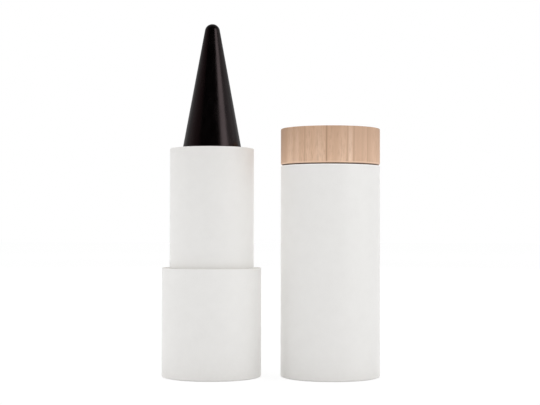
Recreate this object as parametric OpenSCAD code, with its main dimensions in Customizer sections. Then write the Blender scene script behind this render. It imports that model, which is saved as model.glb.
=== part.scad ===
// A twist-up kohl container, open, with its cap standing beside it.
// The base stands on Z = 0 with its axis on Z, and the cap stands on the same surface along +X.
// Every radius is stacked outwards from the kohl stick, and every height upwards from Z = 0.

/* [Kohl] */
// Diameter of the kohl stick where the cup holds it
kohl_d = 12.5; // [11:0.1:13]
// Height of the cone above the cup's rim
cone_h = 26.7; // [23:0.1:28]
// Radius of the cone's rounded tip
tip_r = 1.6; // [1:0.1:2.2]

/* [Cup] */
// Wall of the cup
cup_wall = 0.45; // [0.4:0.05:0.7]
// Thickness of the cup's floor
cup_floor = 1.0; // [0.8:0.1:1.4]
// Depth of kohl that the cup holds
cup_depth = 10; // [8:0.5:11]
// Diameter of the two lugs that drive the cup
lug_d = 2.0; // [1.6:0.1:2.2]
// Material under each lug, down to the cup's lower face
lug_foot = 0.5; // [0.3:0.1:0.8]
// Number of ribs that hold the kohl in the cup
cup_ribs = 4; // [3:1:8]
// Width of one of those ribs
cup_rib_w = 0.5; // [0.4:0.1:0.8]
// How far one of those ribs stands in from the cup's wall
cup_rib_h = 0.35; // [0.25:0.05:0.5]
// How far those ribs stop below the cup's rim
cup_rib_drop = 2.5; // [1:0.5:4]

/* [Guide tube] */
// Radial gap between the cup and the guide tube
slide_gap = 0.1; // [0.08:0.01:0.15]
// Wall of the guide tube
guide_wall = 0.55; // [0.5:0.05:0.8]
// Gap round each lug, in its slot and in its groove
lug_gap = 0.12; // [0.1:0.01:0.18]
// Height of the bead that keeps the spiral tube on
bead_h = 0.6; // [0.5:0.05:0.8]
// How far that bead stands out over the spiral tube
bead_catch = 0.4; // [0.3:0.05:0.5]
// How far the guide tube stops below the sleeve's mouth
guide_drop = 0.6; // [0.4:0.1:1]
// Depth of the brake ring's groove
brake_depth = 0.3; // [0.2:0.05:0.35]
// Play of the brake ring in its groove, above and below it
brake_play = 0.05; // [0.03:0.01:0.1]
// Height of the keys at the guide tube's foot
key_h = 3.5; // [2.5:0.1:4]
// Width of one key
key_w = 1.6; // [1.2:0.1:2]
// How far one key stands out
key_out = 0.5; // [0.3:0.05:0.6]
// Number of keys
keys = 4; // [2:2:8]

/* [Spiral tube] */
// Radial gap between the guide tube and the spiral tube
turn_gap = 0.1; // [0.08:0.01:0.15]
// Wall of the spiral tube
spiral_wall = 0.95; // [0.9:0.05:1.3]
// Depth of its two spiral grooves
groove_depth = 0.65; // [0.55:0.05:0.7]
// Rise of a groove in one full turn
groove_lead = 20; // [18:0.5:26]
// Travel of the cup from fully out to fully in
travel = 28; // [24:0.5:29]
// Height of the flange that the sleeve sits on
flange_h = 5; // [4:0.5:8]

/* [Sleeve] */
// Wall of the sleeve
sleeve_wall = 0.45; // [0.4:0.05:0.7]
// Height of the sleeve above the base
sleeve_out = 25.15; // [24.5:0.05:28]
// How much slimmer the sleeve is inside the base
sleeve_step = 0.2; // [0.16:0.02:0.24]
// Radius of the edges of the sleeve's mouth
mouth_round = 0.25; // [0.15:0.05:0.3]
// Gap between the sleeve's lip and the bead inside it
lip_gap = 0.2; // [0.1:0.05:0.3]
// How far the cup's rim stops below the mouth
rim_drop = 0.3; // [0.2:0.05:0.6]

/* [Base] */
// Height of the base
base_h = 22.8; // [22:0.1:26]
// Wall of the board tubes of the base and the cap
board_wall = 1.0; // [0.8:0.1:1.4]
// Thickness of the board discs that close the tubes
end_disc_t = 1.0; // [0.8:0.1:1.4]
// Thickness of the base liner's floor
liner_floor = 1.0; // [0.8:0.1:1.4]
// Height of the socket that holds the guide tube's foot
socket_h = 4.5; // [4.2:0.1:5]
// Wall of that socket
socket_wall = 1.2; // [1:0.05:1.4]
// How far the base liner stops below the base's upper edge
liner_drop = 0.15; // [0.1:0.05:0.4]
// Gap that lets the spiral tube turn between the socket and the bead
thrust_gap = 0.1; // [0.06:0.01:0.2]
// Radius of the outer edge that a tube stands on
foot_round = 0.3; // [0.15:0.05:0.4]
// Radius of a tube's other edges
edge_round = 0.12; // [0.06:0.02:0.2]

/* [Cap] */
// Height of the cap's tube
cap_tube_h = 44.3; // [43:0.1:50]
// Wall of the cap's liner
liner_wall = 0.5; // [0.4:0.05:0.7]
// Radial gap between the cap's liner and the sleeve
cap_gap = 0.1; // [0.08:0.01:0.15]
// How far the cap's liner stops above the cap's mouth
mouth_drop = 0.4; // [0.2:0.1:1]
// Thickness of the closed end of the cap's liner
liner_top_t = 0.8; // [0.6:0.1:1.2]
// Number of grip ribs in the cap's liner
grips = 6; // [3:1:12]
// How far inside the liner's mouth the grip ribs start
grip_start = 1.0; // [0.5:0.1:3]
// Length of one grip rib
grip_l = 12; // [6:1:16]
// Width of one grip rib
grip_w = 0.8; // [0.5:0.1:1.2]
// How far one grip rib stands in
grip_h = 0.06; // [0.04:0.01:0.07]
// Gap between the base and the cap where they stand side by side
standing_gap = 4.1; // [2:0.1:12]

/* [Wooden top] */
// Height of the wood that shows
wood_h = 7.65; // [6:0.05:10]
// Depth of the spigot inside the cap's tube
spigot_h = 2.5; // [1.5:0.1:4]
// Radial gap round that spigot
spigot_gap = 0.1; // [0.05:0.01:0.2]
// Open seam between the wood and the tube's upper edge
seam_gap = 0.15; // [0.1:0.05:0.3]
// Radius of the wood's upper edge
wood_round = 0.2; // [0.1:0.05:0.6]
// Chamfer on the wood's lower edge
wood_chamfer = 0.2; // [0.1:0.05:0.4]

/* [Hidden] */
$fn = 96;
// Straight pieces in a rounded corner's arc and in the tip's
corner_steps = 6;
tip_steps = 14;
// Turn between two rings of a spiral groove, in degrees
groove_step = 9;
// How far a cut runs past the face that it starts from
past = 0.3;
// How far a rib, key or lug reaches into the wall that it stands on
rooted = 0.2;

kohl_r = kohl_d / 2;
cup_r = kohl_r + cup_wall;
guide_bore = cup_r + slide_gap;
guide_r = guide_bore + guide_wall;
spiral_bore = guide_r + turn_gap;
spiral_r = spiral_bore + spiral_wall;
sleeve_r = spiral_r + sleeve_wall;
foot_r = sleeve_r - sleeve_step;
base_bore = foot_r + turn_gap;
cap_bore = sleeve_r + cap_gap;
tube_bore = cap_bore + liner_wall;
tube_r = tube_bore + board_wall;

groove_r = spiral_bore + groove_depth;
lug_tip = groove_r - 2 * lug_gap;
lug_r = lug_d / 2;
slot_w = lug_d + 2 * lug_gap;
bead_r = spiral_bore + bead_catch;
lip_bore = bead_r + lip_gap;

liner_z = end_disc_t;
socket_z = liner_z + liner_floor;
socket_top = socket_z + socket_h;
spiral_z = socket_top + thrust_gap;
shoulder_z = spiral_z + flange_h;

mouth_z = base_h + sleeve_out;
cup_top = mouth_z - rim_drop;
cup_z = cup_top - cup_depth - cup_floor;
lug_z = cup_z + lug_foot + lug_r;
lug_low = lug_z - travel;
guide_top = mouth_z - guide_drop;
bead_z = guide_top - bead_h;
spiral_top = bead_z - thrust_gap;
slot_z0 = lug_low - slot_w / 2;
slot_z1 = lug_z + slot_w / 2;

groove_w = slot_w / cos(atan(groove_lead / (2 * PI * spiral_bore)));
groove_end = slot_w / 2 / spiral_bore * 180 / PI;
groove_turn = 360 * travel / groove_lead;

brake_z = (slot_z1 + bead_z) / 2;
brake_bed = guide_r - brake_depth;
brake_r = (spiral_bore - brake_bed - turn_gap / 2) / 2;
brake_half = brake_r + brake_play;

cap_x = 2 * tube_r + standing_gap;
cap_disc_z = cap_tube_h - spigot_h;
cap_liner_top = cap_disc_z - end_disc_t;
grip_z = mouth_drop + grip_start;
wood_z = cap_tube_h + seam_gap;

// A quarter circle about [x, z] that starts at the angle a, or its centre alone where r is 0
function corner(x, z, r, a) = r > 0
    ? [for (i = [0:corner_steps]) [x + r * cos(a + 90 * i / corner_steps),
                                   z + r * sin(a + 90 * i / corner_steps)]]
    : [[x, z]];

// The section of a round wall, with a radius on each of its four corners
function wall_outline(bore, r, z0, z1, out0 = 0, out1 = 0, in0 = 0, in1 = 0) = concat(
    corner(r - out0, z0 + out0, out0, -90),
    corner(r - out1, z1 - out1, out1, 0),
    corner(bore + in1, z1 - in1, in1, 90),
    corner(bore + in0, z0 + in0, in0, 180));

module turned(outline) {
    rotate_extrude() polygon(outline);
}

module at_cap() {
    translate([cap_x, 0, 0]) children();
}

function key_angle(i) = 360 * (i + 0.5) / keys;

// A bar along a radius, from r0 to r1, w wide and centred on its own angle
module radial_bar(angle, r0, r1, w, z0, z1) {
    rotate(angle) translate([r0, -w / 2, z0]) cube([r1 - r0, w, z1 - z0]);
}

// The board tube of the base, which stands on its rounded lower edge
module base_tube() {
    color("whitesmoke")
        turned(wall_outline(tube_bore, tube_r, 0, base_h, foot_round, edge_round, 0, edge_round));
}

// The board disc that closes the tube's foot, flush with it
module base_end_disc() {
    color("gainsboro") cylinder(r = tube_bore, h = end_disc_t);
}

// The moulded insert that carries the mechanism in the base
module base_liner() {
    color("ivory") difference() {
        turned(concat(
            [[0, liner_z], [tube_bore, liner_z]],
            corner(tube_bore - edge_round, base_h - liner_drop - edge_round, edge_round, 0),
            corner(base_bore + edge_round, base_h - liner_drop - edge_round, edge_round, 90),
            [[base_bore, socket_z],
             [guide_r + socket_wall, socket_z],
             [guide_r + socket_wall, socket_top],
             [guide_r, socket_top],
             [guide_r, socket_z],
             [0, socket_z]]));
        for (i = [0:keys - 1])
            radial_bar(key_angle(i), guide_r - past, guide_r + key_out + lug_gap,
                       key_w + lug_gap, socket_z, socket_top + past);
    }
}

// The slotted tube that stops the cup from turning
module guide_tube() {
    color("ivory") difference() {
        union() {
            turned([
                [guide_bore, socket_z],
                [guide_r, socket_z],
                [guide_r, brake_z - brake_half],
                [brake_bed, brake_z - brake_half],
                [brake_bed, brake_z + brake_half],
                [guide_r, brake_z + brake_half],
                [guide_r, bead_z],
                [bead_r, bead_z],
                [bead_r, guide_top - bead_h / 2],
                [guide_r, guide_top],
                [guide_bore, guide_top]]);
            for (i = [0:keys - 1])
                radial_bar(key_angle(i), guide_r - rooted, guide_r + key_out,
                           key_w, socket_z, socket_z + key_h);
        }
        for (side = [0, 180]) rotate(side) {
            translate([guide_bore - past, -slot_w / 2, lug_low])
                cube([guide_wall + 2 * past, slot_w, travel]);
            for (z = [lug_low, lug_z])
                translate([guide_bore - past, 0, z])
                    rotate([0, 90, 0]) cylinder(d = slot_w, h = guide_wall + 2 * past);
        }
    }
}

// The soft ring that makes the sleeve turn smoothly and stay where it is left
module brake_ring() {
    color("dimgray") translate([0, 0, brake_z])
        rotate_extrude() translate([brake_bed + brake_r, 0]) circle(r = brake_r, $fn = 32);
}

// One spiral groove, as a solid to cut away, with its upper end at the angle 0
module groove() {
    first = -groove_turn - groove_end;
    last = groove_end;
    steps = ceil((last - first) / groove_step);
    ring = [[spiral_bore - past, -groove_w / 2], [groove_r, -groove_w / 2],
            [groove_r, groove_w / 2], [spiral_bore - past, groove_w / 2]];
    points = [for (i = [0:steps]) let (a = first + (last - first) * i / steps)
        for (p = ring) [p[0] * cos(a), p[0] * sin(a), lug_z + groove_lead * a / 360 + p[1]]];
    sides = [for (i = [0:steps - 1]) for (k = [0:3]) let (n = (k + 1) % 4)
        for (face = [[4 * i + k, 4 * i + n, 4 * i + 4 + k],
                     [4 * i + n, 4 * i + 4 + n, 4 * i + 4 + k]]) face];
    ends = [[2, 1, 0], [3, 2, 0],
            [4 * steps, 4 * steps + 1, 4 * steps + 2], [4 * steps, 4 * steps + 2, 4 * steps + 3]];
    polyhedron(points, concat(sides, ends));
}

// The tube whose two grooves drive the lugs up and down
module spiral_tube() {
    color("ivory") difference() {
        turned([[spiral_bore, spiral_z], [foot_r, spiral_z], [foot_r, shoulder_z],
                [spiral_r, shoulder_z], [spiral_r, spiral_top], [spiral_bore, spiral_top]]);
        groove();
        rotate(180) groove();
    }
}

// The plain tube that shows above the base, fixed round the spiral tube
module sleeve() {
    color("whitesmoke") turned(concat(
        [[spiral_r, shoulder_z], [foot_r, shoulder_z], [foot_r, base_h], [sleeve_r, base_h]],
        corner(sleeve_r - mouth_round, mouth_z - mouth_round, mouth_round, 0),
        corner(lip_bore + mouth_round, mouth_z - mouth_round, mouth_round, 90),
        [[lip_bore, spiral_top], [spiral_r, spiral_top]]));
}

// The ribs in the cup, which also shape the kohl that is pressed round them
module cup_rib_set() {
    for (i = [0:cup_ribs - 1])
        radial_bar(360 * (i + 0.5) / cup_ribs, kohl_r - cup_rib_h, kohl_r + rooted,
                   cup_rib_w, cup_z + cup_floor, cup_top - cup_rib_drop);
}

// The cup that holds the kohl and rides in the guide tube
module carrier_cup() {
    color("ivory") union() {
        turned([[0, cup_z], [cup_r, cup_z], [cup_r, cup_top], [kohl_r, cup_top],
                [kohl_r, cup_z + cup_floor], [0, cup_z + cup_floor]]);
        cup_rib_set();
        for (side = [0, 180]) rotate(side)
            translate([cup_r - rooted, 0, lug_z])
                rotate([0, 90, 0]) cylinder(d = lug_d, h = lug_tip - cup_r + rooted);
    }
}

// The pressed kohl stick: a cone with a rounded tip, on a root that the cup holds
module kohl_cone() {
    tip_z = cup_top + cone_h - tip_r;
    taper = atan(kohl_r / (cone_h - tip_r)) - asin(tip_r / norm([kohl_r, cone_h - tip_r]));
    color("#171314") difference() {
        turned(concat(
            [[0, cup_z + cup_floor], [kohl_r, cup_z + cup_floor], [kohl_r, cup_top]],
            [for (i = [0:tip_steps]) let (a = taper + (90 - taper) * i / tip_steps)
                [i == tip_steps ? 0 : tip_r * cos(a), tip_z + tip_r * sin(a)]]));
        cup_rib_set();
    }
}

// The board tube of the cap, which stands on its open mouth
module cap_tube() {
    color("whitesmoke") at_cap()
        turned(wall_outline(tube_bore, tube_r, 0, cap_tube_h, foot_round, edge_round, edge_round, 0));
}

// The moulded insert that slides over the sleeve and grips it
module cap_liner() {
    inner_top = cap_liner_top - liner_top_t;
    color("ivory") at_cap() {
        turned(concat(
            [[tube_bore, mouth_drop], [tube_bore, cap_liner_top], [0, cap_liner_top],
             [0, inner_top], [cap_bore, inner_top]],
            corner(cap_bore + edge_round, mouth_drop + edge_round, edge_round, 180)));
        for (i = [0:grips - 1])
            radial_bar(360 * i / grips, cap_bore - grip_h, cap_bore + rooted,
                       grip_w, grip_z, grip_z + grip_l);
    }
}

// The board disc between the cap's liner and the wood
module cap_end_disc() {
    color("gainsboro") at_cap()
        translate([0, 0, cap_liner_top]) cylinder(r = tube_bore, h = end_disc_t);
}

// The solid wooden top, turned with a spigot that is glued into the tube
module wooden_top() {
    spigot_r = tube_bore - spigot_gap;
    top_z = wood_z + wood_h;
    color("burlywood") at_cap() turned(concat(
        [[0, cap_disc_z], [spigot_r, cap_disc_z], [spigot_r, wood_z],
         [tube_r - wood_chamfer, wood_z], [tube_r, wood_z + wood_chamfer]],
        corner(tube_r - wood_round, top_z - wood_round, wood_round, 0),
        [[0, top_z]]));
}

base_tube();
base_end_disc();
base_liner();
guide_tube();
brake_ring();
spiral_tube();
sleeve();
carrier_cup();
kohl_cone();
cap_tube();
cap_liner();
cap_end_disc();
wooden_top();
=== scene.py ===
import math

import bmesh
import bpy
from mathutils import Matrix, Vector


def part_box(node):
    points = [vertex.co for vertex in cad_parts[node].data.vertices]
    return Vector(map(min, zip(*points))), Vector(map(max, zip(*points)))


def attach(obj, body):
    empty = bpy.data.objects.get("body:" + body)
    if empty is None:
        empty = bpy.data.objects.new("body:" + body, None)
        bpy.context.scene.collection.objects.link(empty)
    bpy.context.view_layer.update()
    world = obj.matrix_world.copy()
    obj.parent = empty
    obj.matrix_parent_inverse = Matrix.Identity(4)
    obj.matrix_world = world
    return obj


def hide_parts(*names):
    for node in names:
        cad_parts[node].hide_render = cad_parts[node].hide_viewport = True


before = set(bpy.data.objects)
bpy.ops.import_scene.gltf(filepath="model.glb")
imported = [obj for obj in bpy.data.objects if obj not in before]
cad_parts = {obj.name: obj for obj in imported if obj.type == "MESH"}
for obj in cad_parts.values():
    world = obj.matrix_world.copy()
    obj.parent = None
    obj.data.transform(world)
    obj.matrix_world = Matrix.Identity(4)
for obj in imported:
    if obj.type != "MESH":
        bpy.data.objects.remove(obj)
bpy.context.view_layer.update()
mm = 0.001
woodLow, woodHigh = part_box("wooden_top")
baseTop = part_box("base_tube")[1].z
capX = (woodLow.x + woodHigh.x) / 2
poleRadius = 0.1 * mm
closeBy = 0.004 * mm
smoothAngle = math.radians(30)


# Modelling by hand: rings of edges, pushed out one after another

def deselectAll():
    if bpy.context.mode != "OBJECT":
        bpy.ops.object.mode_set(mode="OBJECT")
    bpy.ops.object.select_all(action="DESELECT")


def selectVertices(test):
    mesh = bmesh.from_edit_mesh(bpy.context.object.data)
    bpy.ops.mesh.select_mode(type="VERT")
    bpy.ops.mesh.select_all(action="DESELECT")
    for vertex in mesh.verts:
        vertex.select = test(vertex.co)
    mesh.select_flush_mode()
    bmesh.update_edit_mesh(bpy.context.object.data)


def selectRing(axisX, radius, height):
    def onRing(place):
        out = math.hypot(place.x - axisX, place.y)
        return abs(place.z - height) < closeBy and abs(out - radius) < closeBy

    selectVertices(onRing)


def turnRings(name, axisX, sides, rings):
    # Each ring is (radius, height); the last one stays selected
    deselectAll()
    radius, height = rings[0]
    bpy.ops.mesh.primitive_circle_add(vertices=sides, radius=radius, location=(axisX, 0, height))
    bpy.ops.object.transform_apply(location=True, rotation=True, scale=True)
    piece = bpy.context.object
    piece.name = name
    piece.data.name = name
    bpy.ops.object.mode_set(mode="EDIT")
    bpy.ops.mesh.select_all(action="SELECT")
    for nextRadius, nextHeight in rings[1:]:
        rise = nextHeight - height
        grow = nextRadius / radius
        bpy.ops.mesh.extrude_edges_move(TRANSFORM_OT_translate={"value": (0, 0, rise)})
        bpy.ops.transform.resize(value=(grow, grow, 1), center_override=(axisX, 0, nextHeight))
        radius, height = nextRadius, nextHeight
    return piece


def closeRings():
    # Joins the first ring to the last, so that the wall is a closed ring itself
    bpy.ops.mesh.select_all(action="DESELECT")
    bpy.ops.mesh.select_mode(type="EDGE")
    bpy.ops.mesh.select_non_manifold()
    bpy.ops.mesh.bridge_edge_loops()


def closePole(axisX, height):
    # Draws a small ring together at the axis
    selectRing(axisX, poleRadius, height)
    bpy.ops.mesh.merge(type="CENTER")


def roundRing(axisX, radius, height, size, segments):
    selectRing(axisX, radius, height)
    bpy.ops.mesh.select_mode(type="EDGE")
    bpy.ops.mesh.bevel(offset=size, segments=segments, profile=0.5, affect="EDGES")


def finishPiece(piece, body, node, material):
    bpy.ops.mesh.select_all(action="SELECT")
    bpy.ops.mesh.normals_make_consistent(inside=False)
    bpy.ops.object.mode_set(mode="OBJECT")
    bpy.ops.object.shade_smooth_by_angle(angle=smoothAngle)
    piece.data.materials.clear()
    piece.data.materials.append(material)
    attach(piece, body)
    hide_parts(node)


# Materials, all from Object coordinates in metres

def startMaterial(name):
    material = bpy.data.materials.new(name)
    material.use_nodes = True
    tree = material.node_tree
    place = tree.nodes.new("ShaderNodeTexCoord").outputs["Object"]
    return material, tree, tree.nodes["Principled BSDF"], place


def connect(tree, value, socket):
    if isinstance(value, bpy.types.NodeSocket):
        tree.links.new(value, socket)
    else:
        socket.default_value = value


def noiseOf(tree, place, size, stretch=(1, 1, 1), detail=4.0, roughness=0.55):
    # size is that of one patch, and stretch makes it longer along an axis
    mapping = tree.nodes.new("ShaderNodeMapping")
    mapping.vector_type = "TEXTURE"
    mapping.inputs["Scale"].default_value = [size * s for s in stretch]
    tree.links.new(place, mapping.inputs["Vector"])
    noise = tree.nodes.new("ShaderNodeTexNoise")
    noise.inputs["Scale"].default_value = 1.0
    noise.inputs["Detail"].default_value = detail
    noise.inputs["Roughness"].default_value = roughness
    tree.links.new(mapping.outputs["Vector"], noise.inputs["Vector"])
    return noise.outputs["Fac"]


def spread(tree, value, low, high, outLow=0.0, outHigh=1.0):
    node = tree.nodes.new("ShaderNodeMapRange")
    node.inputs["From Min"].default_value = low
    node.inputs["From Max"].default_value = high
    node.inputs["To Min"].default_value = outLow
    node.inputs["To Max"].default_value = outHigh
    tree.links.new(value, node.inputs["Value"])
    return node.outputs["Result"]


def vary(tree, noise, low, high):
    # Most of a noise lies between these two values
    return spread(tree, noise, 0.3, 0.7, low, high)


def blendColours(tree, factor, first, second):
    node = tree.nodes.new("ShaderNodeMix")
    node.data_type = "RGBA"
    connect(tree, factor, node.inputs["Factor"])
    connect(tree, first, node.inputs[6])
    connect(tree, second, node.inputs[7])
    return node.outputs[2]


def calculate(tree, kind, first, second):
    node = tree.nodes.new("ShaderNodeMath")
    node.operation = kind
    connect(tree, first, node.inputs[0])
    connect(tree, second, node.inputs[1])
    return node.outputs["Value"]


def distanceFrom(tree, value, middle):
    return calculate(tree, "ABSOLUTE", calculate(tree, "SUBTRACT", value, middle), 0.0)


def splitPlace(tree, place):
    node = tree.nodes.new("ShaderNodeSeparateXYZ")
    tree.links.new(place, node.inputs["Vector"])
    return node.outputs


def vectorMath(tree, kind, *values):
    node = tree.nodes.new("ShaderNodeVectorMath")
    node.operation = kind
    for value, socket in zip(values, node.inputs):
        connect(tree, value, socket)
    return node.outputs


def addBump(tree, shader, height, depth):
    node = tree.nodes.new("ShaderNodeBump")
    node.inputs["Strength"].default_value = 1.0
    node.inputs["Distance"].default_value = depth
    tree.links.new(height, node.inputs["Height"])
    tree.links.new(node.outputs["Normal"], shader.inputs["Normal"])


def mottle(tree, shader, cloud, settings):
    # Two close colours and a gloss that varies, both after the same slow noise
    tone = spread(tree, cloud, *settings["clouded"])
    colour = blendColours(tree, tone, settings["colour"], settings["second"])
    tree.links.new(colour, shader.inputs["Base Color"])
    tree.links.new(vary(tree, cloud, *settings["roughness"]), shader.inputs["Roughness"])


coatedPaper = {
    "colour": (0.862, 0.853, 0.836, 1),
    "shade": (0.830, 0.820, 0.802, 1),
    "patch": 2.5 * mm,
    "clouded": (0.35, 0.7),
    "fibre": 0.16 * mm,
    "fibreStretch": (1, 1, 3.5),
    "fibrous": (0.3, 0.75),
    "roughness": (0.54, 0.64),
    "nap": 0.20,
    "napRoughness": 0.45,
    "tooth": 0.006 * mm,
    # The grey of the painted shade at the foot and beside the base, and of the darkening towards the mouth
    "darkerGrey": (0.70, 0.675, 0.645, 1),
    "darkerPatch": 0.9 * mm,
    "darkerUneven": (0.8, 1.2),
    # The colour of the painted highlight along the top edge of the cap's tube
    "rim": (0.95, 0.94, 0.93, 1),
    "highlightHeight": 0.26 * mm,
    "highlightFade": 0.6,
}


def makeCoatedPaper(name, darkenedAt, rimHighlightZ=None):
    # The white is painted a little greyer near each given height, each place as (height, reach, depth),
    # and a painted highlight makes a thin band at the rim paler
    s = coatedPaper
    material, tree, shader, place = startMaterial(name)
    cloud = noiseOf(tree, place, s["patch"], detail=3)
    fibres = noiseOf(tree, place, s["fibre"], stretch=s["fibreStretch"], detail=5, roughness=0.65)
    tone = calculate(tree, "MULTIPLY", spread(tree, cloud, *s["clouded"]),
                     spread(tree, fibres, *s["fibrous"]))
    colour = blendColours(tree, tone, s["colour"], s["shade"])
    placeZ = splitPlace(tree, place)["Z"]
    uneven = vary(tree, noiseOf(tree, place, s["darkerPatch"]), *s["darkerUneven"])
    # Painted shade, or a plain darkening, greys the white near each height
    for height, reach, depth in darkenedAt:
        away = distanceFrom(tree, placeZ, height)
        near = calculate(tree, "POWER", 0.5, calculate(tree, "DIVIDE", away, reach))
        greyer = calculate(tree, "MULTIPLY", near, calculate(tree, "MULTIPLY", uneven, depth))
        colour = blendColours(tree, greyer, colour, s["darkerGrey"])
    # Painted highlight: a thin band at the top of the tube is paler
    if rimHighlightZ is not None:
        rim = spread(tree, placeZ, rimHighlightZ - s["highlightHeight"], rimHighlightZ - s["highlightHeight"] * s["highlightFade"])
        colour = blendColours(tree, rim, colour, s["rim"])
    tree.links.new(colour, shader.inputs["Base Color"])
    tree.links.new(vary(tree, cloud, *s["roughness"]), shader.inputs["Roughness"])
    shader.inputs["Sheen Weight"].default_value = s["nap"]
    shader.inputs["Sheen Roughness"].default_value = s["napRoughness"]
    addBump(tree, shader, fibres, s["tooth"])
    return material


waxBlack = {
    "colour": (0.0005, 0.0003, 0.0003, 1),
    "second": (0.0011, 0.0008, 0.0008, 1),
    "gleam": (1.0, 0.78, 0.80, 1),
    "patch": 1.3 * mm,
    "patchStretch": (1, 1, 2.5),
    "clouded": (0.4, 0.75),
    "grain": 0.09 * mm,
    "roughness": (0.20, 0.28),
    "tooth": 0.003 * mm,
}


def makeKohl():
    s = waxBlack
    material, tree, shader, place = startMaterial("pressedKohl")
    mottle(tree, shader, noiseOf(tree, place, s["patch"], stretch=s["patchStretch"]), s)
    shader.inputs["Specular Tint"].default_value = s["gleam"]
    addBump(tree, shader, noiseOf(tree, place, s["grain"], roughness=0.6), s["tooth"])
    return material


mouldedPlastic = {
    "colour": (0.78, 0.775, 0.76, 1),
    "second": (0.74, 0.735, 0.715, 1),
    "patch": 3 * mm,
    "patchStretch": (1, 1, 2),
    "clouded": (0.35, 0.7),
    "grain": 0.12 * mm,
    "roughness": (0.28, 0.38),
    "milkiness": 0.08,
    "milkDepth": 0.6 * mm,
    "tooth": 0.003 * mm,
}


def makePlastic():
    s = mouldedPlastic
    material, tree, shader, place = startMaterial("whiteMouldedPlastic")
    mottle(tree, shader, noiseOf(tree, place, s["patch"], stretch=s["patchStretch"], detail=3), s)
    shader.inputs["Subsurface Weight"].default_value = s["milkiness"]
    shader.inputs["Subsurface Scale"].default_value = s["milkDepth"]
    addBump(tree, shader, noiseOf(tree, place, s["grain"], detail=3), s["tooth"])
    return material


greyBoard = {
    "colour": (0.70, 0.67, 0.625, 1),
    "fleck": (0.47, 0.435, 0.385, 1),
    "pulp": 0.7 * mm,
    "pulpy": (0.45, 0.75),
    "fibre": 0.22 * mm,
    "fibreStretch": (4, 1, 1),
    "fibrous": (0.4, 0.7),
    "roughness": 0.85,
    "tooth": 0.02 * mm,
    "layer": 0.24 * mm,
    "glueLine": 0.05 * mm,
    "glueDepth": 0.55,
}


def makeBoard(name, tubeX=None):
    # A tube's cut edge shows the layers that it is wound from
    s = greyBoard
    material, tree, shader, place = startMaterial(name)
    pulp = noiseOf(tree, place, s["pulp"], detail=5, roughness=0.6)
    fibres = noiseOf(tree, place, s["fibre"], stretch=s["fibreStretch"], detail=5, roughness=0.7)
    fleck = calculate(tree, "MULTIPLY", spread(tree, pulp, *s["pulpy"]),
                      spread(tree, fibres, *s["fibrous"]))
    if tubeX is not None:
        flat = vectorMath(tree, "MULTIPLY_ADD", place, (1, 1, 0), (-tubeX, 0, 0))["Vector"]
        out = vectorMath(tree, "LENGTH", flat)["Value"]
        wound = calculate(tree, "PINGPONG", out, s["layer"] / 2)
        glue = spread(tree, wound, 0, s["glueLine"], s["glueDepth"], 0)
        fleck = calculate(tree, "MAXIMUM", fleck, glue)
    tree.links.new(blendColours(tree, fleck, s["colour"], s["fleck"]), shader.inputs["Base Color"])
    shader.inputs["Roughness"].default_value = s["roughness"]
    addBump(tree, shader, fibres, s["tooth"])
    return material


brakeRubber = {
    "colour": (0.012, 0.012, 0.013, 1),
    "second": (0.05, 0.048, 0.045, 1),
    "patch": 0.5 * mm,
    "clouded": (0.5, 0.8),
    "roughness": (0.55, 0.75),
}


def makeRubber():
    s = brakeRubber
    material, tree, shader, place = startMaterial("softBlackRubber")
    mottle(tree, shader, noiseOf(tree, place, s["patch"], detail=5), s)
    return material


# Growth lines run front to back through the wood: (place across it, half width, depth)
turnedWood = {
    "colour": (0.743, 0.488, 0.328, 1),
    "pale": (0.88, 0.630, 0.462, 1),
    "dark": (0.46, 0.280, 0.180, 1),
    # The colours of the painted highlight on the chamfer and of the painted shadow in the groove
    "chamferHighlightColour": (0.92, 0.655, 0.480, 1),
    "grooveShadowColour": (0.20, 0.115, 0.070, 1),
    "darkLines": [
        (-10.1, 0.15, 0.40), (-9.6, 0.25, 0.22), (-7.8, 0.20, 0.14), (-6.6, 0.18, 0.20),
        (-5.66, 0.13, 0.60), (-1.22, 0.13, 1.15), (-0.85, 0.20, 0.14), (0.5, 0.60, 0.25),
        (1.1, 0.20, 0.16), (3.07, 0.14, 0.60), (4.40, 0.17, 0.74), (5.25, 0.80, 0.34),
        (6.2, 0.45, 0.42), (7.32, 0.16, 0.62), (7.75, 0.42, 0.34), (9.9, 0.40, 0.24),
    ],
    "paleLines": [
        (-8.6, 0.40, 0.80), (-7.25, 0.32, 0.72), (-4.85, 0.35, 0.45), (-2.8, 0.80, 0.65),
        (2.0, 0.60, 0.40), (3.62, 0.32, 1.30), (8.6, 0.40, 0.20),
    ],
    "waver": 0.16 * mm,
    "waverPatch": 7 * mm,
    "waverStretch": (1, 1, 3),
    "streak": 0.8 * mm,
    "streakStretch": (1, 3, 16),
    "streaky": (0.35, 0.7),
    "streakDepth": 0.35,
    "fibre": 0.22 * mm,
    "fibreStretch": (1, 1, 8),
    "fibrous": (0.45, 0.75),
    "fibreDepth": 0.55,
    "paintedTopShade": 0.56,
    # The band of the chamfer's painted highlight, and of the groove's painted shadow
    "cutEdge": 0.36 * mm,
    "chamferHighlightFade": 0.7,
    "chamferHighlightStrength": 0.75,
    "grooveShadowFrom": -0.01 * mm,
    "grooveShadowTo": 0.02 * mm,
    "roughness": (0.50, 0.62),
    "lineRelief": 0.5,
    "tooth": 0.008 * mm,
}


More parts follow.
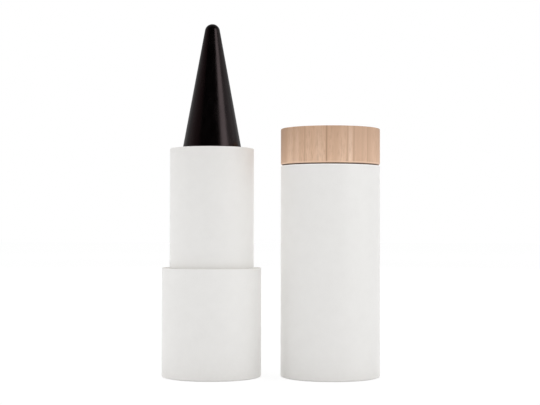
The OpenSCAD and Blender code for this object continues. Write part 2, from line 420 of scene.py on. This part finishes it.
def makeWood(edgeZ, topZ):
    s = turnedWood
    material, tree, shader, place = startMaterial("turnedPaleWood")
    parts = splitPlace(tree, place)
    waver = noiseOf(tree, place, s["waverPatch"], stretch=s["waverStretch"], detail=2)
    waver = spread(tree, waver, 0, 1, -s["waver"], s["waver"])
    across = calculate(tree, "ADD", calculate(tree, "SUBTRACT", parts["X"], capX), waver)

    def gather(lines):
        total = 0.0
        for middle, half, depth in lines:
            away = distanceFrom(tree, across, middle * mm)
            line = spread(tree, away, 0.0, half * 2 * mm, depth, 0.0)
            total = calculate(tree, "MAXIMUM", total, line)
        return calculate(tree, "MINIMUM", total, 1.0)

    streaks = noiseOf(tree, place, s["streak"], stretch=s["streakStretch"], detail=3)
    fibres = noiseOf(tree, place, s["fibre"], stretch=s["fibreStretch"], detail=3, roughness=0.6)
    paler = calculate(tree, "MULTIPLY", spread(tree, streaks, *s["streaky"]), s["streakDepth"])
    colour = blendColours(tree, paler, s["colour"], s["pale"])
    colour = blendColours(tree, gather(s["paleLines"]), colour, s["pale"])
    fine = calculate(tree, "MULTIPLY", spread(tree, fibres, *s["fibrous"]), s["fibreDepth"])
    darkLines = gather(s["darkLines"])
    colour = blendColours(tree, calculate(tree, "MAXIMUM", darkLines, fine), colour, s["dark"])
    # Painted shade: the wood is darker towards its top
    shaded = spread(tree, parts["Z"], edgeZ, topZ, 0, s["paintedTopShade"])
    colour = blendColours(tree, shaded, colour, s["dark"])
    # A painted highlight keeps the chamfer pale, and a painted shadow darkens the groove above the board
    chamferHighlightFrom, chamferHighlightTo = edgeZ + s["cutEdge"] * s["chamferHighlightFade"], edgeZ + s["cutEdge"]
    chamferHighlight = spread(tree, parts["Z"], chamferHighlightFrom, chamferHighlightTo, s["chamferHighlightStrength"], 0)
    colour = blendColours(tree, chamferHighlight, colour, s["chamferHighlightColour"])
    grooveShadow = spread(tree, parts["Z"], edgeZ + s["grooveShadowFrom"], edgeZ + s["grooveShadowTo"], 1, 0)
    colour = blendColours(tree, grooveShadow, colour, s["grooveShadowColour"])
    tree.links.new(colour, shader.inputs["Base Color"])
    tree.links.new(vary(tree, streaks, *s["roughness"]), shader.inputs["Roughness"])
    sunk = calculate(tree, "MULTIPLY", darkLines, s["lineRelief"])
    addBump(tree, shader, calculate(tree, "SUBTRACT", fibres, sunk), s["tooth"])
    return material


# Painted shade on the paper at its foot and where the sleeve leaves the base, and a darkening towards the
# sleeve's mouth, each as (height, reach, depth)
paintedFootShade = (0.0, 2.2 * mm, 0.38)
paintedShadeAtBase = (baseTop, 0.4 * mm, 0.42)
# The sleeve's paper is darker towards its mouth
darkerToMouth = (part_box("sleeve")[1].z, 6.0 * mm, 0.22)
spigotDepth = 2.73 * mm
woodEdge = woodLow.z + spigotDepth

# The tube paper carries a painted highlight at the cap tube's top edge
tubePaper = makeCoatedPaper("coatedWhitePaper", [paintedFootShade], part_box("cap_tube")[1].z)
sleevePaper = makeCoatedPaper("sleeveWhitePaper", [paintedShadeAtBase, darkerToMouth])
kohl = makeKohl()
plastic = makePlastic()
board = makeBoard("pressedBoard")
rubber = makeRubber()
wood = makeWood(woodEdge, woodHigh.z)
baseCutEdge = makeBoard("baseCutEdge", 0.0)
capCutEdge = makeBoard("capCutEdge", capX)
print("materials are made")


# The board tubes of the base and the cap, with the overlap of their paper at the back

boardTube = {
    "sides": 288,
    "wall": 1.0 * mm,
    "footRound": 0.3 * mm,
    "footSegments": 8,
    "edgeRound": 0.12 * mm,
    "edgeSegments": 4,
    "boreSegments": 3,
    "paper": 0.06 * mm,
    "overlap": 5 * mm,
    "endFaceNormal": 0.92,
}


def lapPaper(axisX, radius, low, high):
    # The sheet ends on itself: beside its edge the tube is one sheet thinner
    s = boardTube
    turn = 2 * math.pi / s["sides"]
    steps = round(s["overlap"] / radius / turn)
    lowest, highest = low + s["footRound"] / 2, high - s["edgeRound"] / 2
    for step in range(steps):
        angle = math.pi / 2 - step * turn
        lift = -s["paper"] * (1 - step / steps)
        outward = Vector((math.cos(angle), math.sin(angle), 0))

        def onColumn(place):
            out = Vector((place.x - axisX, place.y, 0))
            onWall = out.length > radius - s["footRound"] and lowest < place.z < highest
            return onWall and out.angle(outward) < turn / 3

        selectVertices(onColumn)
        bpy.ops.transform.translate(value=outward * lift)


def makeBoardTube(name, body, node, axisX, cutEdge):
    s = boardTube
    low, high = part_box(node)
    radius = high.x - axisX
    bore = radius - s["wall"]
    rings = [(bore, low.z), (radius, low.z), (radius, high.z), (bore, high.z)]
    piece = turnRings(name, axisX, s["sides"], rings)
    closeRings()
    roundRing(axisX, radius, low.z, s["footRound"], s["footSegments"])
    roundRing(axisX, radius, high.z, s["edgeRound"], s["edgeSegments"])
    for height in (high.z, low.z):
        roundRing(axisX, bore, height, s["edgeRound"], s["boreSegments"])
    lapPaper(axisX, radius, low.z, high.z)
    finishPiece(piece, body, node, tubePaper)
    piece.data.materials.append(cutEdge)
    for face in piece.data.polygons:
        if abs(face.normal.z) > s["endFaceNormal"]:
            face.material_index = 1


makeBoardTube("baseBoardTube", "base", "base_tube", 0.0, baseCutEdge)
makeBoardTube("capBoardTube", "cap", "cap_tube", capX, capCutEdge)
print("board tubes are made")


# The sleeve that stands out of the base

sleevePiece = {
    "sides": 288,
    "wall": 0.45 * mm,
    "step": 0.2 * mm,
    "lip": 0.8 * mm,
    "mouthRound": 0.25 * mm,
    "mouthSegments": 8,
}


def makeSleeve():
    s = sleevePiece
    low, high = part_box("sleeve")
    radius = high.x
    bore = radius - s["wall"]
    foot = radius - s["step"]
    lip = radius - s["lip"]
    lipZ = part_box("spiral_tube")[1].z
    rings = [(bore, low.z), (foot, low.z), (foot, baseTop), (radius, baseTop),
             (radius, high.z), (lip, high.z), (lip, lipZ), (bore, lipZ)]
    piece = turnRings("innerSleeve", 0.0, s["sides"], rings)
    closeRings()
    for edge in (radius, lip):
        roundRing(0.0, edge, high.z, s["mouthRound"], s["mouthSegments"])
    finishPiece(piece, "sleeve", "sleeve", sleevePaper)


makeSleeve()
print("sleeve is made")


# The kohl: a root in the cup, a straight taper and a rounded tip

kohlStick = {
    "sides": 192,
    "tipRadius": 1.6 * mm,
    "tipSteps": 16,
    "taperSteps": 24,
}


def makeKohlStick():
    s = kohlStick
    low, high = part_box("kohl_cone")
    root = high.x
    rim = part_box("carrier_cup")[1].z
    tip = s["tipRadius"]
    tipZ = high.z - tip
    taper = math.atan2(root, tipZ - rim) - math.asin(tip / math.hypot(root, tipZ - rim))
    joinRadius, joinZ = tip * math.cos(taper), tipZ + tip * math.sin(taper)
    rings = [(poleRadius, low.z), (root / 2, low.z), (root, low.z), (root, rim)]
    for step in range(1, s["taperSteps"] + 1):
        share = step / s["taperSteps"]
        rings.append((root + (joinRadius - root) * share, rim + (joinZ - rim) * share))
    for step in range(1, s["tipSteps"]):
        angle = taper + (math.pi / 2 - taper) * step / s["tipSteps"]
        rings.append((tip * math.cos(angle), tipZ + tip * math.sin(angle)))
    rings.append((poleRadius, high.z))
    piece = turnRings("kohlStick", 0.0, s["sides"], rings)
    closePole(0.0, low.z)
    closePole(0.0, high.z)
    finishPiece(piece, "carriage", "kohl_cone", kohl)


makeKohlStick()
print("kohl is made")


# The solid wooden top, turned with a spigot below it

woodenTop = {
    "sides": 288,
    "spigot": 9.35 * mm,
    "chamfer": 0.2 * mm,
    "edgeRound": 0.2 * mm,
    "edgeSegments": 8,
    "topRings": (0.7, 0.35),
}


def makeWoodenTop():
    s = woodenTop
    radius = woodHigh.x - capX
    spigot = s["spigot"]
    rings = [(poleRadius, woodLow.z), (spigot / 2, woodLow.z), (spigot, woodLow.z), (spigot, woodEdge),
             (radius - s["chamfer"], woodEdge), (radius, woodEdge + s["chamfer"]), (radius, woodHigh.z)]
    rings += [(radius * share, woodHigh.z) for share in s["topRings"]]
    rings.append((poleRadius, woodHigh.z))
    piece = turnRings("turnedWoodenTop", capX, s["sides"], rings)
    closePole(capX, woodLow.z)
    closePole(capX, woodHigh.z)
    roundRing(capX, radius, woodHigh.z, s["edgeRound"], s["edgeSegments"])
    finishPiece(piece, "cap", "wooden_top", wood)


makeWoodenTop()
print("wooden top is made")


# The CAD pieces that stay get their finish

for node, material in {
    "base_end_disc": board, "cap_end_disc": board,
    "base_liner": plastic, "guide_tube": plastic, "spiral_tube": plastic,
    "carrier_cup": plastic, "cap_liner": plastic, "brake_ring": rubber,
}.items():
    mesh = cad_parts[node].data
    mesh.materials.clear()
    mesh.materials.append(material)
print("moulded pieces have their finish")


# A white studio: a pale floor, soft lamps and the camera at the photograph's angle.
# Matt surfaces and shiny ones have lamps of their own. The two gap lamps light the base or the
# cap alone, and make up for the shade that each throws on the other.

studio = {
    "floorSize": 6.0,
    "floorZ": -0.02 * mm,
    "floorRoughness": 0.9,
    "footHole": 10.0 * mm,
    "floorColour": (0.80, 0.80, 0.80, 1),
    "floorSeen": (0.16, 0.16, 0.16, 1),
    "glowReach": (0.1, 1.2),
    "glow": (0.86, 0.93),
    "ambientTurn": (-0.5, 0.7),
    "ambient": (0.42, 0.35),
    "glossTurn": (-0.35, 0.7),
    "gloss": (0.01, 0.35),
    "middleZ": 35 * mm,
    "lampTall": 0.9,
    "lamps": {
        "keyRight": {"angle": 54, "away": 0.7, "height": 0.16, "width": 0.4, "power": 1.95, "on": "matt"},
        "gleamRight": {"angle": 56, "away": 0.7, "height": 0.16, "width": 0.36, "power": 2, "on": "gloss"},
        "frontLeft": {"angle": -36, "away": 0.9, "height": 0.1, "width": 0.2, "power": 1.5, "on": "matt"},
        "fillLeft": {"angle": -88, "away": 0.9, "height": 0.25, "width": 0.9, "power": 3.3, "on": "matt"},
        "topSoft": {"angle": 0, "away": 0.15, "height": 0.8, "width": 0.9, "power": 2.5, "on": "matt"},
        "sideRight": {"angle": 96, "away": 0.9, "height": 0.05, "width": 0.9, "power": 2.2, "on": "matt"},
        "backLeft": {"angle": -150, "away": 0.7, "height": 0.2, "width": 0.5, "power": 1.6, "on": "matt"},
        "backRight": {"angle": 150, "away": 0.7, "height": 0.2, "width": 0.5, "power": 1.9, "on": "matt"},
        "gleamSide": {"angle": 96, "away": 0.9, "height": 0.2, "width": 0.7, "power": 0.5, "on": "gloss"},
        "gleamLeft": {"angle": -82, "away": 0.9, "height": 0.2, "width": 0.9, "power": 0.29, "on": "gloss",
                      "colour": (1.0, 0.66, 0.68)},
        "gapOnBase": {"angle": 134, "away": 0.7, "height": 0.2, "width": 0.5, "power": 1.2, "on": "matt",
                      "only": ("baseBoardTube", "innerSleeve")},
        "gapOnCap": {"angle": -136, "away": 0.7, "height": 0.2, "width": 0.5, "power": 1.1, "on": "matt",
                     "only": ("capBoardTube",)},
    },
}


def seenStraight(tree, rays):
    return calculate(tree, "MAXIMUM", rays["Is Camera Ray"], rays["Is Transmission Ray"])


def makeFloor():
    deselectAll()
    bpy.ops.mesh.primitive_plane_add(size=studio["floorSize"], location=(0, 0, studio["floorZ"]))
    floor = bpy.context.object
    floor.name = "studioFloor"
    material, tree, shader, place = startMaterial("paleFloor")
    shader.inputs["Roughness"].default_value = studio["floorRoughness"]
    shader.inputs["Specular IOR Level"].default_value = 0.0
    rays = tree.nodes.new("ShaderNodeLightPath").outputs
    gloss = calculate(tree, "MULTIPLY", rays["Is Glossy Ray"], studio["gloss"][1])
    length = vectorMath(tree, "LENGTH", place)["Value"]
    glow = spread(tree, length, *studio["glowReach"], *studio["glow"])
    colour = blendColours(tree, rays["Is Camera Ray"], studio["floorColour"], studio["floorSeen"])
    tree.links.new(colour, shader.inputs["Base Color"])
    shader.inputs["Emission Color"].default_value = (1, 1, 1, 1)
    seen = calculate(tree, "MAXIMUM", seenStraight(tree, rays), gloss)
    tree.links.new(calculate(tree, "MULTIPLY", seen, glow), shader.inputs["Emission Strength"])
    # From below the floor is clear, and under each tube it lets light up to the foot
    clear = tree.nodes.new("ShaderNodeBsdfTransparent")
    sides = tree.nodes.new("ShaderNodeMixShader")
    under = 0.0
    for axisX in (0.0, capX):
        away = vectorMath(tree, "DISTANCE", place, (axisX, 0, 0))["Value"]
        under = calculate(tree, "MAXIMUM", under, calculate(tree, "LESS_THAN", away, studio["footHole"]))
    unseen = calculate(tree, "SUBTRACT", under, rays["Is Camera Ray"])
    below = tree.nodes.new("ShaderNodeNewGeometry").outputs["Backfacing"]
    tree.links.new(calculate(tree, "MAXIMUM", unseen, below), sides.inputs["Fac"])
    tree.links.new(shader.outputs["BSDF"], sides.inputs[1])
    tree.links.new(clear.outputs["BSDF"], sides.inputs[2])
    tree.links.new(sides.outputs["Shader"], tree.nodes["Material Output"].inputs["Surface"])
    floor.data.materials.append(material)


def makeWorld():
    # White to the camera; matt surfaces get nearly even light, and shiny ones a dark front
    world = bpy.data.worlds.new("whiteStudio")
    bpy.context.scene.world = world
    world.use_nodes = True
    tree = world.node_tree
    background = tree.nodes["Background"]
    background.inputs["Color"].default_value = (1, 1, 1, 1)
    rays = tree.nodes.new("ShaderNodeLightPath").outputs
    backwards = splitPlace(tree, tree.nodes.new("ShaderNodeTexCoord").outputs["Generated"])["Y"]
    ambient = spread(tree, backwards, *studio["ambientTurn"], *studio["ambient"])
    gloss = spread(tree, backwards, *studio["glossTurn"], *studio["gloss"])
    shiny = calculate(tree, "MULTIPLY", rays["Is Glossy Ray"], gloss)
    matt = calculate(tree, "MULTIPLY", rays["Is Diffuse Ray"], ambient)
    strength = calculate(tree, "MAXIMUM", seenStraight(tree, rays), shiny)
    strength = calculate(tree, "MAXIMUM", strength, matt)
    tree.links.new(strength, background.inputs["Strength"])


def makeLamp(name, settings, target):
    # The angle is counted from the camera's side of the object, to the right
    angle = math.radians(settings["angle"])
    offset = Vector((math.sin(angle), -math.cos(angle), 0)) * settings["away"]
    place = Vector((target.x, target.y, settings["height"])) + offset
    deselectAll()
    bpy.ops.object.light_add(type="AREA", location=place)
    lamp = bpy.context.object
    lamp.name = name
    lamp.rotation_euler = (target - place).to_track_quat("-Z", "Y").to_euler()
    lamp.data.shape = "RECTANGLE"
    lamp.data.size = settings["width"]
    lamp.data.size_y = studio["lampTall"]
    lamp.data.energy = settings["power"]
    lamp.data.color = settings.get("colour", (1, 1, 1))
    lamp.visible_glossy = settings["on"] == "gloss"
    lamp.visible_diffuse = settings["on"] == "matt"
    if "only" in settings:
        lit = bpy.data.collections.new(name)
        for pieceName in settings["only"]:
            lit.objects.link(bpy.data.objects[pieceName])
        lamp.light_linking.receiver_collection = lit
        lamp.light_linking.blocker_collection = lit


makeFloor()
makeWorld()
middle = Vector((capX / 2, 0, studio["middleZ"]))
for lampName, lampSettings in studio["lamps"].items():
    makeLamp(lampName, lampSettings, middle)

view = {
    "place": (12.27 * mm, -268 * mm, 30.6 * mm),
    "pitchUp": 1.28,
    "roll": 0.11,
    "focal": 1269,
    "imageWidth": 540,
    "sensor": 36,
    "nearest": 10 * mm,
}
bpy.ops.object.camera_add(location=view["place"])
camera = bpy.context.object
camera.rotation_euler = (math.radians(90 + view["pitchUp"]), 0, 0)
camera.rotation_euler.rotate_axis("Z", math.radians(view["roll"]))
camera.data.sensor_width = view["sensor"]
camera.data.lens = view["sensor"] * view["focal"] / view["imageWidth"]
camera.data.clip_start = view["nearest"]
bpy.context.scene.camera = camera
bpy.context.scene.view_settings.view_transform = "Standard"
print("studio is lit")
